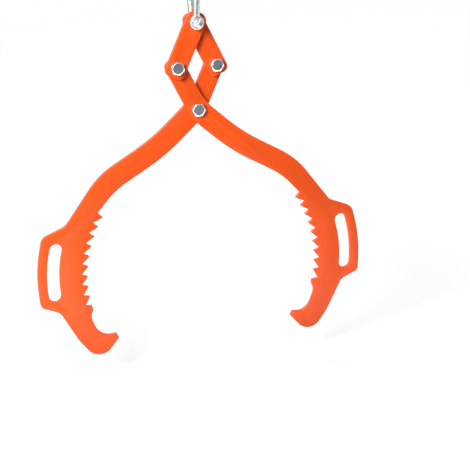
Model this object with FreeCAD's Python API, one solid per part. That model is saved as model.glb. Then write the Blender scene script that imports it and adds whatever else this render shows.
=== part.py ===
import FreeCAD, Part
import math
import os

from FreeCAD import Vector

# Log lifting tongs that hang from a bow shackle, in millimetres.
# X runs across the jaws, Y from front to back through the plates, Z up.
# The origin is where the crane hook bears, at the inside top of the shackle's bow.

# Plates and the linkage
PLATE_T = 10.0
PIVOT_PITCH = 95.0          # between neighbouring pivots of the four sided linkage
HALF_ANGLE = 25.5           # of the linkage at rest, from plumb to each side, degrees
LINK_WIDTH = 40.0
LINK_END_REACH = 20.0       # link beyond the centre of its end pivot
LINK_TOP_R = 16.0
ARM_END_REACH = 17.0
END_CORNER_R = 12.0

# Pivot bolts, M16, with flat washers and prevailing torque nuts
BOLT_D = 16.0
BOLT_LENGTH = 45.0
HOLE_PLAY = 0.5             # radial, bolt or pin in a plate
HEX_FLATS = 24.0
HEAD_HEIGHT = 10.0
HEX_CHAMFER = 2.4           # how far the corner chamfer runs in from the flats
HEX_CHAMFER_SLOPE = 30.0
BOLT_END_CHAMFER = 1.5
BOLT_TURN_LEFT = 12.0       # of each hexagon about its bolt, degrees
BOLT_TURN_RIGHT = 24.0
BOLT_TURN_CROSS = 30.0
WASHER_D = 30.0
WASHER_T = 3.0
WEAR_WASHER_D = 34.0
WEAR_WASHER_T = 1.0
PIVOT_PLAY = 0.1            # axial, between parts that turn on each other
NUT_HEX_HEIGHT = 11.5
NUT_COLLAR_D = 21.5
NUT_COLLAR_WALL = 1.2
INSERT_HEIGHT = 3.0
THREAD_PLAY = 0.06          # radial, between a thread and what it turns in

# Bow shackle
BAR_D = 13.0
BOW_INSIDE = 33.0
BOW_INSIDE_LENGTH = 48.0    # from the pin to the inside top of the bow
EYE_D = 28.0
EYE_CHAMFER = 2.0
SHACKLE_PLAY = 0.5          # between each eye and the links
PIN_D = 16.0
PIN_COLLAR_D = 21.0
PIN_COLLAR_T = 3.5
SPOT_FACE_D = 23.0          # turned flat on the front eye, for the pin's collar
PIN_EAR_D = 21.0
PIN_EAR_T = 8.0
PIN_EAR_HOLE = 8.5
PIN_EAR_GAP = 10.0          # from the collar's face to the middle of the ear
PIN_EAR_TURN = 50.0         # of the ear about the pin, up from level, degrees
PIN_END = 3.0               # thread beyond the far eye
PIN_END_CHAMFER = 1.5

# Teeth, on an arc that hugs the log, drawn for the left jaw as it hangs
TEETH_CENTRE = (10.3, -335.4)       # of the arc, from the crossing pivot (x, z)
TEETH_R = 250.0
TEETH_TOP_RISE = 33.0       # of the top tooth above the arc's centre, degrees
TOOTH_COUNT = 10
TOOTH_PITCH = 21.1
TOOTH_DEPTH = 13.5
TOOTH_DROP = 3.0            # of each tip below the tooth's root, along the arc

# Jaw arm, from the crossing pivot to its elbow by the arc
UPPER_ARM_WIDTH = 39.0
LOWER_ARM_WIDTH = 44.0
ARM_KNEE = (-79.3, -71.0)
ARM_ELBOW = (51.4, 202.4)           # from the side of the arc
ARM_END_SLOPE = 37.0        # of the last stretch from plumb, degrees
NECK_R = 110.0
CROTCH_R = 85.0
KNEE_R = 400.0
ELBOW_R = 175.0

# Hand grip on the back of the jaw, each corner from the side of the arc (x, z)
GRIP_TOP = (-85.3, 102.9)
GRIP_ROOT_SLOPE = 68.0      # of the edge above the grip from plumb, degrees
GRIP_ROOT_R = 22.0
GRIP_TOP_R = 20.0
GRIP_FOOT = (-97.8, -39.6)
GRIP_FOOT_R = 12.0
GRIP_HEEL = (-60.3, -55.1)
GRIP_HEEL_R = 24.0
GRIP_BULGE = 10.5           # of the back's corner beyond the chord from top to foot
GRIP_BACK_R = 300.0
GRIP_BAR = 18.5             # between the back and the hand slot
SLOT_WIDTH = 25.0
SLOT_LENGTH = 121.0

# Hook below the teeth, each corner from the tip of the bottom tooth (x, z)
HOOK_BACK = (-30.5, -73.0)
HOOK_BACK_R = 140.0
HOOK_BOTTOM = (9.0, -124.5)
HOOK_BOTTOM_R = 30.0
HOOK_TIP = (50.5, -75.5)
HOOK_TIP_R = 3.0
HOOK_NOSE = (46.0, -65.5)
HOOK_NOSE_R = 4.0
HOOK_BOWL = (14.0, -70.5)
HOOK_BOWL_R = 31.0
HOOK_THROAT = (-5.0, -22.0)
HOOK_THROAT_R = 24.0
THROAT_NOSE = (2.0, -9.0)
THROAT_NOSE_R = 9.0

# What follows from the sizes above
LAYER_GAP = WEAR_WASHER_T + PIVOT_PLAY
LAYER_PITCH = PLATE_T + LAYER_GAP
FRONT_LAYER = -LAYER_GAP / 2 - PLATE_T      # front face of the left link
MIDDLE_LAYER = LAYER_GAP / 2                # front face of the right link and right jaw
BACK_LAYER = MIDDLE_LAYER + LAYER_PITCH     # front face of the left jaw
HOLE_R = BOLT_D / 2 + HOLE_PLAY
PIN_HOLE_R = PIN_D / 2 + HOLE_PLAY
SHACKLE_INSIDE = 2 * PLATE_T + LAYER_GAP + 2 * SHACKLE_PLAY
EYE_MIDDLE = SHACKLE_INSIDE / 2 + BAR_D / 2
EYE_FACE = SHACKLE_INSIDE / 2 + BAR_D

HALF = math.radians(HALF_ANGLE)
TOP_PIVOT = (0.0, -BOW_INSIDE_LENGTH - PIN_D / 2)
RIGHT_PIVOT = (PIVOT_PITCH * math.sin(HALF), TOP_PIVOT[1] - PIVOT_PITCH * math.cos(HALF))
LEFT_PIVOT = (-RIGHT_PIVOT[0], RIGHT_PIVOT[1])
CROSS_PIVOT = (0.0, TOP_PIVOT[1] - 2 * PIVOT_PITCH * math.cos(HALF))
ARC_SIDE = (TEETH_CENTRE[0] - TEETH_R, TEETH_CENTRE[1])     # where the tooth arc is plumb


def plumb_direction(degrees):
    """Unit direction that points down and swings out to the left by an angle."""
    turn = math.radians(degrees)
    return (-math.sin(turn), -math.cos(turn))


def placed(origin, place):
    return (origin[0] + place[0], origin[1] + place[1])


def along(point, direction, distance):
    return (point[0] + direction[0] * distance, point[1] + direction[1] * distance)


def crossing(point_a, direction_a, point_b, direction_b):
    """Where two straight lines meet in the plane of the plates."""
    det = direction_a[0] * direction_b[1] - direction_a[1] * direction_b[0]
    gap = (point_b[0] - point_a[0], point_b[1] - point_a[1])
    distance = (gap[0] * direction_b[1] - gap[1] * direction_b[0]) / det
    return along(point_a, direction_a, distance)


def direction_between(start, end):
    length = math.hypot(end[0] - start[0], end[1] - start[1])
    return ((end[0] - start[0]) / length, (end[1] - start[1]) / length)


def left_of(direction):
    """The direction turned a quarter turn, to the left of travel."""
    return (-direction[1], direction[0])


def rounded_wire(corners, y):
    """A closed wire of straight runs, with a tangent arc at each corner (x, z, radius)."""
    starts = []
    ends = []
    middles = []
    count = len(corners)
    for i, (x, z, radius) in enumerate(corners):
        back = direction_between((x, z), corners[i - 1][:2])
        ahead = direction_between((x, z), corners[(i + 1) % count][:2])
        cosine = max(-1.0, min(1.0, back[0] * ahead[0] + back[1] * ahead[1]))
        half_turn = math.acos(cosine) / 2
        setback = radius / math.tan(half_turn)
        starts.append(along((x, z), back, setback))
        ends.append(along((x, z), ahead, setback))
        if radius > 0:
            inward = direction_between((0, 0), (back[0] + ahead[0], back[1] + ahead[1]))
            depth = radius / math.sin(half_turn) - radius
            middles.append(along((x, z), inward, depth))
        else:
            middles.append(None)
    edges = []
    for i in range(count):
        if middles[i]:
            points = [Vector(p[0], y, p[1]) for p in (starts[i], middles[i], ends[i])]
            edges.append(Part.Arc(*points).toShape())
        run_end = starts[(i + 1) % count]
        first = Vector(ends[i][0], y, ends[i][1])
        last = Vector(run_end[0], y, run_end[1])
        edges.append(Part.LineSegment(first, last).toShape())
    return Part.Wire(edges)


def plate(corners, y):
    """A flat plate of the outline, with its front face at y."""
    return Part.Face(rounded_wire(corners, y)).extrude(Vector(0, PLATE_T, 0))


def hole(centre, radius, y):
    """A drill through one plate, run past both of its faces."""
    start = Vector(centre[0], y - PLATE_T, centre[1])
    return Part.makeCylinder(radius, 3 * PLATE_T, start, Vector(0, 1, 0))


def link(upper, lower, y):
    """A straight link with blunt rounded ends, from the shackle pin to a jaw."""
    down = direction_between(upper, lower)
    side = left_of(down)
    half_width = LINK_WIDTH / 2
    top = along(upper, down, -LINK_END_REACH)
    bottom = along(lower, down, LINK_END_REACH)
    corners = [
        along(top, side, -half_width) + (LINK_TOP_R,),
        along(bottom, side, -half_width) + (END_CORNER_R,),
        along(bottom, side, half_width) + (END_CORNER_R,),
        along(top, side, half_width) + (LINK_TOP_R,),
    ]
    shape = plate(corners, y)
    return shape.cut([hole(upper, PIN_HOLE_R, y), hole(lower, HOLE_R, y)])


def arm_outline():
    """Both sides of the jaw's arm, the outer going down and the inner going up, and the outer's last run."""
    up = direction_between((0, 0), (math.sin(HALF), math.cos(HALF)))
    across = (up[1], -up[0])
    end = along((0, 0), up, PIVOT_PITCH + ARM_END_REACH)
    elbow = placed(ARC_SIDE, ARM_ELBOW)
    first = direction_between((0, 0), ARM_KNEE)
    second = direction_between(ARM_KNEE, elbow)
    third = plumb_direction(ARM_END_SLOPE)
    half_lower = LOWER_ARM_WIDTH / 2

    def edge(start, direction, side):
        return along(start, left_of(direction), -side * half_lower), direction

    def side_corners(side, neck_r):
        upper_end = along(end, across, -side * UPPER_ARM_WIDTH / 2)
        upper = edge((0, 0), first, side)
        middle = edge(ARM_KNEE, second, side)
        lower = edge(elbow, third, side)
        return [
            upper_end + (END_CORNER_R,),
            crossing(upper_end, up, *upper) + (neck_r,),
            crossing(*upper, *middle) + (KNEE_R,),
            crossing(*middle, *lower) + (ELBOW_R,),
        ]

    outer = side_corners(1, NECK_R)
    inner = side_corners(-1, CROTCH_R)
    return outer, inner[::-1], edge(elbow, third, 1)


def grip_outline(outer_run):
    """Corners of the hand grip, from its root on the arm down to its heel."""
    top, foot, heel = [placed(ARC_SIDE, place) for place in (GRIP_TOP, GRIP_FOOT, GRIP_HEEL)]
    root = crossing(top, plumb_direction(GRIP_ROOT_SLOPE), *outer_run)
    chord = direction_between(top, foot)
    middle = ((top[0] + foot[0]) / 2, (top[1] + foot[1]) / 2)
    back = along(middle, left_of(chord), -GRIP_BULGE)
    return [
        root + (GRIP_ROOT_R,),
        top + (GRIP_TOP_R,),
        back + (GRIP_BACK_R,),
        foot + (GRIP_FOOT_R,),
        heel + (GRIP_HEEL_R,),
    ]


def hook_outline(tooth_tip):
    """Corners of the hook and the throat above it, placed from the bottom tooth's tip."""
    corners = []
    for place, radius in (
        (HOOK_BACK, HOOK_BACK_R),
        (HOOK_BOTTOM, HOOK_BOTTOM_R),
        (HOOK_TIP, HOOK_TIP_R),
        (HOOK_NOSE, HOOK_NOSE_R),
        (HOOK_BOWL, HOOK_BOWL_R),
        (HOOK_THROAT, HOOK_THROAT_R),
        (THROAT_NOSE, THROAT_NOSE_R),
    ):
        corners.append(placed(tooth_tip, place) + (radius,))
    return corners


def teeth_outline():
    """Saw teeth from the bottom one up: each hangs a little, with a long sloped underside."""
    top_angle = math.radians(180 - TEETH_TOP_RISE)
    corners = []
    for i in reversed(range(TOOTH_COUNT)):
        root_angle = top_angle + i * TOOTH_PITCH / TEETH_R
        tip_angle = root_angle + TOOTH_DROP / TEETH_R
        for angle, radius in ((tip_angle, TEETH_R), (root_angle, TEETH_R + TOOTH_DEPTH)):
            ray = (math.cos(angle), math.sin(angle))
            corners.append(along(TEETH_CENTRE, ray, radius) + (0.0,))
    return corners


def hand_slot(grip):
    """The hand slot's outline, a bent slot that follows the grip's rounded back."""
    top, back, foot = [corner[:2] for corner in grip[1:4]]
    to_top = direction_between(back, top)
    to_foot = direction_between(back, foot)
    inward = direction_between((0, 0), (to_top[0] + to_foot[0], to_top[1] + to_foot[1]))
    half_turn = math.acos(to_top[0] * inward[0] + to_top[1] * inward[1])
    centre = along(back, inward, GRIP_BACK_R / math.sin(half_turn))
    middle_angle = math.atan2(-inward[1], -inward[0])
    radius = GRIP_BACK_R - GRIP_BAR - SLOT_WIDTH / 2
    half_spread = (SLOT_LENGTH - SLOT_WIDTH) / 2 / radius

    def at(angle, distance):
        return along(centre, (math.cos(angle), math.sin(angle)), distance)

    first = middle_angle - half_spread
    last = middle_angle + half_spread
    end_spread = SLOT_WIDTH / 2 / radius
    inner = radius - SLOT_WIDTH / 2
    outer = radius + SLOT_WIDTH / 2
    return [
        (at(first, outer), at(middle_angle, outer), at(last, outer)),
        (at(last, outer), at(last + end_spread, radius), at(last, inner)),
        (at(last, inner), at(middle_angle, inner), at(first, inner)),
        (at(first, inner), at(first - end_spread, radius), at(first, outer)),
    ]


def jaw(hand, y):
    """A jaw plate with its teeth, hook and hand grip: hand is -1 for the left jaw, 1 for the right."""
    outer, inner, outer_run = arm_outline()
    grip = grip_outline(outer_run)
    teeth = teeth_outline()
    corners = outer + grip + hook_outline(teeth[0][:2]) + teeth + inner

    def place(point):
        return (CROSS_PIVOT[0] - hand * point[0], CROSS_PIVOT[1] + point[1])

    shape = plate([place(corner) + (corner[2],) for corner in corners], y)
    slot_edges = []
    for arc in hand_slot(grip):
        points = [Vector(x, y - PLATE_T, z) for x, z in map(place, arc)]
        slot_edges.append(Part.Arc(*points).toShape())
    slot = Part.Face(Part.Wire(slot_edges)).extrude(Vector(0, 3 * PLATE_T, 0))
    corner_pivot = RIGHT_PIVOT if hand < 0 else LEFT_PIVOT
    cuts = [slot, hole(CROSS_PIVOT, HOLE_R, y), hole(corner_pivot, HOLE_R, y)]
    return shape.cut(cuts)


def turned(profile, pivot, y):
    """A solid turned about a pivot's axis, from a closed profile of (radius, distance back)."""
    points = [Vector(pivot[0] + radius, y + back, pivot[1]) for radius, back in profile]
    face = Part.Face(Part.makePolygon(points + points[:1]))
    return face.revolve(Vector(pivot[0], 0, pivot[1]), Vector(0, 1, 0), 360)


def ring(outer_r, inner_r, thickness, pivot, y):
    profile = [(inner_r, 0), (outer_r, 0), (outer_r, thickness), (inner_r, thickness)]
    return turned(profile, pivot, y)


def hexagon(pivot, y, height, turn, front_chamfer, back_chamfer):
    """A hexagon bar end with its corners turned off at the faces asked for."""
    corner_r = HEX_FLATS / math.sqrt(3)
    face_r = HEX_FLATS / 2 - HEX_CHAMFER
    rise = (corner_r - face_r) * math.tan(math.radians(HEX_CHAMFER_SLOPE))
    points = []
    for i in range(6):
        angle = math.radians(turn + 60 * i)
        x = pivot[0] + corner_r * math.cos(angle)
        points.append(Vector(x, y, pivot[1] + corner_r * math.sin(angle)))
    prism = Part.Face(Part.makePolygon(points + points[:1])).extrude(Vector(0, height, 0))
    profile = [(0, 0), (face_r, 0), (corner_r, rise)] if front_chamfer else [(0, 0), (corner_r, 0)]
    if back_chamfer:
        profile += [(corner_r, height - rise), (face_r, height), (0, height)]
    else:
        profile += [(corner_r, height), (0, height)]
    return prism.common(turned(profile, pivot, y))


def bolt(pivot, y, turn):
    """A hexagon head bolt whose head sits on a plate's front face at y."""
    head = hexagon(pivot, y - HEAD_HEIGHT, HEAD_HEIGHT, turn, True, False)
    shank_r = BOLT_D / 2
    profile = [
        (0, -HEAD_HEIGHT / 2),
        (shank_r, -HEAD_HEIGHT / 2),
        (shank_r, BOLT_LENGTH - BOLT_END_CHAMFER),
        (shank_r - BOLT_END_CHAMFER, BOLT_LENGTH),
        (0, BOLT_LENGTH),
    ]
    return head.fuse(turned(profile, pivot, y)).removeSplitter()


def nut(pivot, y, turn):
    """A lock nut whose thin collar is turned in over its nylon insert."""
    bore_r = BOLT_D / 2 + THREAD_PLAY
    collar_r = NUT_COLLAR_D / 2
    pocket_r = collar_r - NUT_COLLAR_WALL
    lip_r = pocket_r - NUT_COLLAR_WALL / 2
    pocket_end = NUT_HEX_HEIGHT + INSERT_HEIGHT
    end = pocket_end + NUT_COLLAR_WALL
    body = hexagon(pivot, y, NUT_HEX_HEIGHT, turn, True, True)
    collar = turned([
        (0, NUT_HEX_HEIGHT / 2),
        (collar_r, NUT_HEX_HEIGHT / 2),
        (collar_r, pocket_end),
        (lip_r + NUT_COLLAR_WALL / 2, end),
        (0, end),
    ], pivot, y)
    bore = turned([
        (0, -NUT_HEX_HEIGHT),
        (bore_r, -NUT_HEX_HEIGHT),
        (bore_r, NUT_HEX_HEIGHT),
        (pocket_r, NUT_HEX_HEIGHT),
        (pocket_r, pocket_end),
        (lip_r, pocket_end),
        (lip_r, 2 * end),
        (0, 2 * end),
    ], pivot, y)
    return body.fuse(collar).cut(bore).removeSplitter()


def nut_insert(pivot, y):
    """The nylon ring that grips the bolt's thread, in the nut's collar."""
    outer_r = NUT_COLLAR_D / 2 - NUT_COLLAR_WALL - THREAD_PLAY
    inner_r = BOLT_D / 2 + THREAD_PLAY
    return ring(outer_r, inner_r, INSERT_HEIGHT, pivot, y + NUT_HEX_HEIGHT)


def shackle_body():
    """The forged bow: a round bar bent in the YZ plane, with an eye on each end."""
    bar_r = BAR_D / 2
    bow_r = BOW_INSIDE / 2 + bar_r
    bow_centre = Vector(0, 0, -BOW_INSIDE / 2)
    foot = Vector(0, EYE_MIDDLE, TOP_PIVOT[1])
    drop = foot - bow_centre
    reach = math.acos(bow_r / drop.Length)
    tangent_angle = math.atan2(drop.z, drop.y) + reach
    spoke = Vector(0, math.cos(tangent_angle), math.sin(tangent_angle))
    tangent = bow_centre + spoke * bow_r
    travel = Vector(0, -spoke.z, spoke.y)

    section = Part.Face(Part.Wire(Part.makeCircle(bar_r, tangent, travel)))
    sweep = 180 - 2 * math.degrees(tangent_angle)
    solids = [section.revolve(bow_centre, Vector(1, 0, 0), sweep)]
    for side in (-1, 1):
        start = Vector(0, side * foot.y, foot.z)
        end = Vector(0, side * tangent.y, tangent.z)
        solids.append(Part.makeCylinder(bar_r, (end - start).Length, start, end - start))
        eye_start = Vector(0, side * EYE_MIDDLE - BAR_D / 2, foot.z)
        eye = Part.makeCylinder(EYE_D / 2, BAR_D, eye_start, Vector(0, 1, 0))
        rims = [edge for edge in eye.Edges if len(edge.Vertexes) == 1]
        solids.append(eye.makeChamfer(EYE_CHAMFER, rims))
    body = solids[0].fuse(solids[1:])
    front_bore = Part.makeCylinder(
        PIN_HOLE_R, SHACKLE_INSIDE + BAR_D, Vector(0, -EYE_FACE - BAR_D / 2, foot.z), Vector(0, 1, 0))
    thread_bore = Part.makeCylinder(
        PIN_D / 2 + THREAD_PLAY, SHACKLE_INSIDE + BAR_D, Vector(0, 0, foot.z), Vector(0, 1, 0))
    spot_face = Part.makeCylinder(
        SPOT_FACE_D / 2, BAR_D, Vector(0, -EYE_FACE - BAR_D, foot.z), Vector(0, 1, 0))
    return body.cut([front_bore, thread_bore, spot_face]).removeSplitter()


def shackle_pin():
    """The screw pin, with a shoulder in front and a flat ear to turn it by."""
    pin_r = PIN_D / 2
    collar_front = -EYE_FACE - PIVOT_PLAY - PIN_COLLAR_T
    ear_middle = collar_front - PIN_EAR_GAP
    pin_end = EYE_FACE + PIN_END
    shaft = turned([
        (0, ear_middle + PIN_EAR_HOLE),
        (PIN_EAR_T / 2, ear_middle + PIN_EAR_HOLE),
        (pin_r, collar_front),
        (PIN_COLLAR_D / 2, collar_front),
        (PIN_COLLAR_D / 2, collar_front + PIN_COLLAR_T),
        (pin_r, collar_front + PIN_COLLAR_T),
        (pin_r, pin_end - PIN_END_CHAMFER),
        (pin_r - PIN_END_CHAMFER, pin_end),
        (0, pin_end),
    ], TOP_PIVOT, 0)
    below = Vector(0, ear_middle, TOP_PIVOT[1] - PIN_EAR_T / 2)
    ear = Part.makeCylinder(PIN_EAR_D / 2, PIN_EAR_T, below)
    ear_hole = Part.makeCylinder(PIN_EAR_HOLE / 2, 3 * PIN_EAR_T, below - Vector(0, 0, PIN_EAR_T))
    collar_corner = Vector(-PIN_EAR_D / 2, collar_front, TOP_PIVOT[1] - PIN_EAR_D / 2)
    behind_collar = Part.makeBox(PIN_EAR_D, PIN_EAR_D, PIN_EAR_D, collar_corner)
    ear = ear.cut([ear_hole, behind_collar])
    ear.rotate(Vector(0, 0, TOP_PIVOT[1]), Vector(0, 1, 0), -PIN_EAR_TURN)
    return shaft.fuse(ear).removeSplitter()


def build():
    os.makedirs("parts", exist_ok=True)
    nodes = {
        "shackle_body": shackle_body(),
        "shackle_pin": shackle_pin(),
        "link_left": link(TOP_PIVOT, LEFT_PIVOT, FRONT_LAYER),
        "link_right": link(TOP_PIVOT, RIGHT_PIVOT, MIDDLE_LAYER),
        "jaw_right": jaw(1, MIDDLE_LAYER),
        "jaw_left": jaw(-1, BACK_LAYER),
    }
    for name, pivot, y, turn in (
        ("left", LEFT_PIVOT, FRONT_LAYER, BOLT_TURN_LEFT),
        ("right", RIGHT_PIVOT, MIDDLE_LAYER, BOLT_TURN_RIGHT),
        ("cross", CROSS_PIVOT, MIDDLE_LAYER, BOLT_TURN_CROSS),
    ):
        washer_y = y + PLATE_T + LAYER_PITCH + PIVOT_PLAY
        nut_y = washer_y + WASHER_T
        nodes["bolt_" + name] = bolt(pivot, y, turn)
        nodes["wear_washer_" + name] = ring(WEAR_WASHER_D / 2, HOLE_R, WEAR_WASHER_T, pivot, y + PLATE_T)
        nodes["washer_" + name] = ring(WASHER_D / 2, HOLE_R, WASHER_T, pivot, washer_y)
        nodes["nut_" + name] = nut(pivot, nut_y, turn)
        nodes["nut_insert_" + name] = nut_insert(pivot, nut_y)
    nodes["wear_washer_top"] = ring(
        WEAR_WASHER_D / 2, PIN_HOLE_R, WEAR_WASHER_T, TOP_PIVOT, FRONT_LAYER + PLATE_T)
    for name, shape in nodes.items():
        shape.exportStep("parts/" + name + ".step")


build()
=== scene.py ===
import math

import bmesh
import bpy
from bpy.props import FloatProperty, FloatVectorProperty, IntProperty, PointerProperty
from mathutils import Matrix, Vector


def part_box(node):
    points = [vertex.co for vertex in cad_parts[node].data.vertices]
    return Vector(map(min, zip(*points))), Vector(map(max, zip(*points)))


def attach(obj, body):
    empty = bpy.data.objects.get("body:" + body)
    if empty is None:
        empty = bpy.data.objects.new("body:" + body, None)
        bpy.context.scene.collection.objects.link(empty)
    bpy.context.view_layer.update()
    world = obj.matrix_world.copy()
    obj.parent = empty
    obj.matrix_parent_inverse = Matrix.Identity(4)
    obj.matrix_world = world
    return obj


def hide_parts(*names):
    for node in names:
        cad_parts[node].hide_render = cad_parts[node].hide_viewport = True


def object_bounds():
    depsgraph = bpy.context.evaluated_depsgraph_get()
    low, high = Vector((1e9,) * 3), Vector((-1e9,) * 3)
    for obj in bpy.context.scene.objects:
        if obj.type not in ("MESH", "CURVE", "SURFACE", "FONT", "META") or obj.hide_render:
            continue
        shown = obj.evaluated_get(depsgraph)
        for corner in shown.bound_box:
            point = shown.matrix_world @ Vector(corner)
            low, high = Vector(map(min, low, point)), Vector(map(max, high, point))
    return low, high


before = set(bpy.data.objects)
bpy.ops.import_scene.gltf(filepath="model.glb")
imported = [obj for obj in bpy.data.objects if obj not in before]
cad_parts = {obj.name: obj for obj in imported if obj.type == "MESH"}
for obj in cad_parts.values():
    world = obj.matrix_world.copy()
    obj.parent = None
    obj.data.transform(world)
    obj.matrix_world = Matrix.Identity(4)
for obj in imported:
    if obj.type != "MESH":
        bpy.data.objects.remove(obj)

bl_info = {
    "name": "Log lifting tongs",
    "version": (1, 0, 0),
    "blender": (4, 5, 0),
    "location": "3D View > Sidebar > Tongs",
    "description": "Dresses the plates, fasteners and shackle of a pair of log lifting tongs",
    "category": "Object",
}

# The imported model's own box, before anything is dressed
CAD_BOUNDS = [list(corner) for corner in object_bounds()]

# Each pivot's fasteners, the bodies that they ride on, and how far their heads are turned
PIVOT_BODIES = {"left": "left_link", "right": "right_link", "cross": "right_jaw"}
WEAR_WASHERS = dict(PIVOT_BODIES, top="left_link")
HEAD_TURNS = {"left": 12.0, "right": 24.0, "cross": 30.0}

# Each plate and its body
PLATES = {
    "jaw_left": "left_jaw",
    "jaw_right": "right_jaw",
    "link_left": "left_link",
    "link_right": "right_link",
}


def node_centre(node):
    """The middle of a node's box."""
    low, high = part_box(node)
    return (low + high) / 2


def node_radius(node):
    """Half the width of a round node, across its pivot's axis."""
    low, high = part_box(node)
    return (high.x - low.x) / 2


# Sizes and colours that a user would change

class PaintSettings(bpy.types.PropertyGroup):
    colour: FloatVectorProperty(
        name="Paint colour", description="Powder coat on the plates", subtype="COLOR",
        size=3, min=0.0, max=1.0, default=(0.95, 0.092, 0.003))
    # Lighter than the paint: partly a thinner coat, partly a painted highlight on the eased edges
    thin_coat_and_highlight_colour: FloatVectorProperty(
        name="Edge colour", description="Thinner coat along the eased edges", subtype="COLOR",
        size=3, min=0.0, max=1.0, default=(0.96, 0.16, 0.035))
    edge_radius: FloatProperty(
        name="Edge radius", description="How far the cut edges are eased", subtype="DISTANCE",
        unit="LENGTH", min=0.0, max=0.003, default=0.0008)
    peel_size: FloatProperty(
        name="Peel size", description="Width of the coat's orange peel", subtype="DISTANCE",
        unit="LENGTH", min=0.0002, max=0.01, default=0.0016)
    roughness: FloatProperty(
        name="Paint roughness", description="Roughness of the coat", subtype="FACTOR",
        min=0.0, max=1.0, default=0.42)


class FastenerSettings(bpy.types.PropertyGroup):
    zinc_colour: FloatVectorProperty(
        name="Zinc colour", description="Zinc plate on bolts, nuts and washers", subtype="COLOR",
        size=3, min=0.0, max=1.0, default=(0.71, 0.77, 0.87))
    steel_colour: FloatVectorProperty(
        name="Steel colour", description="Bare steel of the wear washers", subtype="COLOR",
        size=3, min=0.0, max=1.0, default=(0.30, 0.30, 0.31))
    nylon_colour: FloatVectorProperty(
        name="Nylon colour", description="Insert of each lock nut", subtype="COLOR",
        size=3, min=0.0, max=1.0, default=(0.78, 0.79, 0.74))
    flats: FloatProperty(
        name="Across flats", description="Width of the heads and nuts", subtype="DISTANCE",
        unit="LENGTH", min=0.01, max=0.05, default=0.024)
    face_inset: FloatProperty(
        name="Face inset", description="From the flats in to the turned face", subtype="DISTANCE",
        unit="LENGTH", min=0.0005, max=0.005, default=0.0015)
    chamfer: FloatProperty(
        name="Chamfer angle", description="Slope of the turned off corners", subtype="ANGLE",
        unit="ROTATION", min=math.radians(15), max=math.radians(45), default=math.radians(30))
    edge_radius: FloatProperty(
        name="Head edge radius", description="Easing of the head's edges", subtype="DISTANCE",
        unit="LENGTH", min=0.0, max=0.001, default=0.0004)
    pitch: FloatProperty(
        name="Thread pitch", description="From one thread to the next", subtype="DISTANCE",
        unit="LENGTH", min=0.0005, max=0.004, default=0.002)
    thread_depth: FloatProperty(
        name="Thread depth", description="From crest to root", subtype="DISTANCE",
        unit="LENGTH", min=0.0003, max=0.003, default=0.0012)
    thread_steps: IntProperty(
        name="Steps in a turn", description="Facets in one turn of the thread",
        min=12, max=96, default=40)


class ShackleSettings(bpy.types.PropertyGroup):
    zinc_colour: FloatVectorProperty(
        name="Galvanised colour", description="Bright zinc on the forging", subtype="COLOR",
        size=3, min=0.0, max=1.0, default=(0.60, 0.625, 0.63))
    voxel: FloatProperty(
        name="Forging grain", description="Size of the blended mesh", subtype="DISTANCE",
        unit="LENGTH", min=0.0003, max=0.002, default=0.0006)
    blend_passes: IntProperty(
        name="Blend passes", description="Softening of the forging's inner corners",
        min=0, max=60, default=14)
    pin_passes: IntProperty(
        name="Pin passes", description="Softening of the pin's edges", min=0, max=30, default=4)


class StageSettings(bpy.types.PropertyGroup):
    azimuth: FloatProperty(
        name="Azimuth", description="Camera round the object, 0 looks at the front",
        subtype="ANGLE", unit="ROTATION", default=math.radians(-16.0))
    elevation: FloatProperty(
        name="Elevation", description="Camera above the horizon", subtype="ANGLE",
        unit="ROTATION", default=math.radians(16.5))
    roll: FloatProperty(
        name="Roll", description="Camera turned about its own axis", subtype="ANGLE",
        unit="ROTATION", default=math.radians(-2.0))
    distance: FloatProperty(
        name="Distance", description="Camera from its aim", subtype="DISTANCE", unit="LENGTH",
        default=2.3615)
    aim: FloatVectorProperty(
        name="Aim", description="Point at the middle of the frame", subtype="TRANSLATION",
        unit="LENGTH", size=3, default=(0.0668, 0.0, -0.4934))
    focal_pixels: FloatProperty(
        name="Focal length in pixels", description="For a frame 470 pixels wide", default=1150.0)
    floor_drop: FloatProperty(
        name="Floor drop", description="Floor below the hooks", subtype="DISTANCE",
        unit="LENGTH", default=0.06)
    key_energy: FloatProperty(
        name="Key light", description="Power of the upper left light", subtype="POWER",
        unit="POWER", default=84.0)
    rim_energy: FloatProperty(
        name="Rim light", description="Power of the light behind, up on the left",
        subtype="POWER", unit="POWER", default=28.0)
    side_energy: FloatProperty(
        name="Side light", description="Power of the light on the right", subtype="POWER",
        unit="POWER", default=9.0)
    fill_level: FloatProperty(
        name="Fill", description="Light from all round on dull surfaces", min=0.0, max=2.0,
        default=0.17)
    surround_level: FloatProperty(
        name="Surround", description="Brightness of the room that metal reflects",
        min=0.0, max=4.0, default=0.70)
    front_level: FloatProperty(
        name="Front", description="Brightness of the dark room behind the camera",
        min=0.0, max=4.0, default=0.055)
    back_level: FloatProperty(
        name="Back", description="Share of the room's brightness left behind the object",
        min=0.0, max=1.0, default=0.30)
    floor_level: FloatProperty(
        name="Floor", description="Brightness of the floor that gloss reflects",
        min=0.0, max=5.0, default=0.5)
    band_level: FloatProperty(
        name="Floor band", description="Brightness of the floor's band in front, to gloss",
        min=0.0, max=5.0, default=4.1)


# Shader effects that several finishes share

FLOAT = "NodeSocketFloat"


def new_group(name, inputs, outputs, kind="ShaderNodeTree"):
    """An empty group with its inputs (name, type, default or None) and outputs (name, type)."""
    group = bpy.data.node_groups.new(name, kind)
    for socket_name, socket_type, default in inputs:
        socket = group.interface.new_socket(
            socket_name, in_out="INPUT", socket_type=socket_type)
        if default is not None:
            socket.default_value = default
    for socket_name, socket_type in outputs:
        group.interface.new_socket(socket_name, in_out="OUTPUT", socket_type=socket_type)
    return group, group.nodes.new("NodeGroupInput"), group.nodes.new("NodeGroupOutput")


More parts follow.
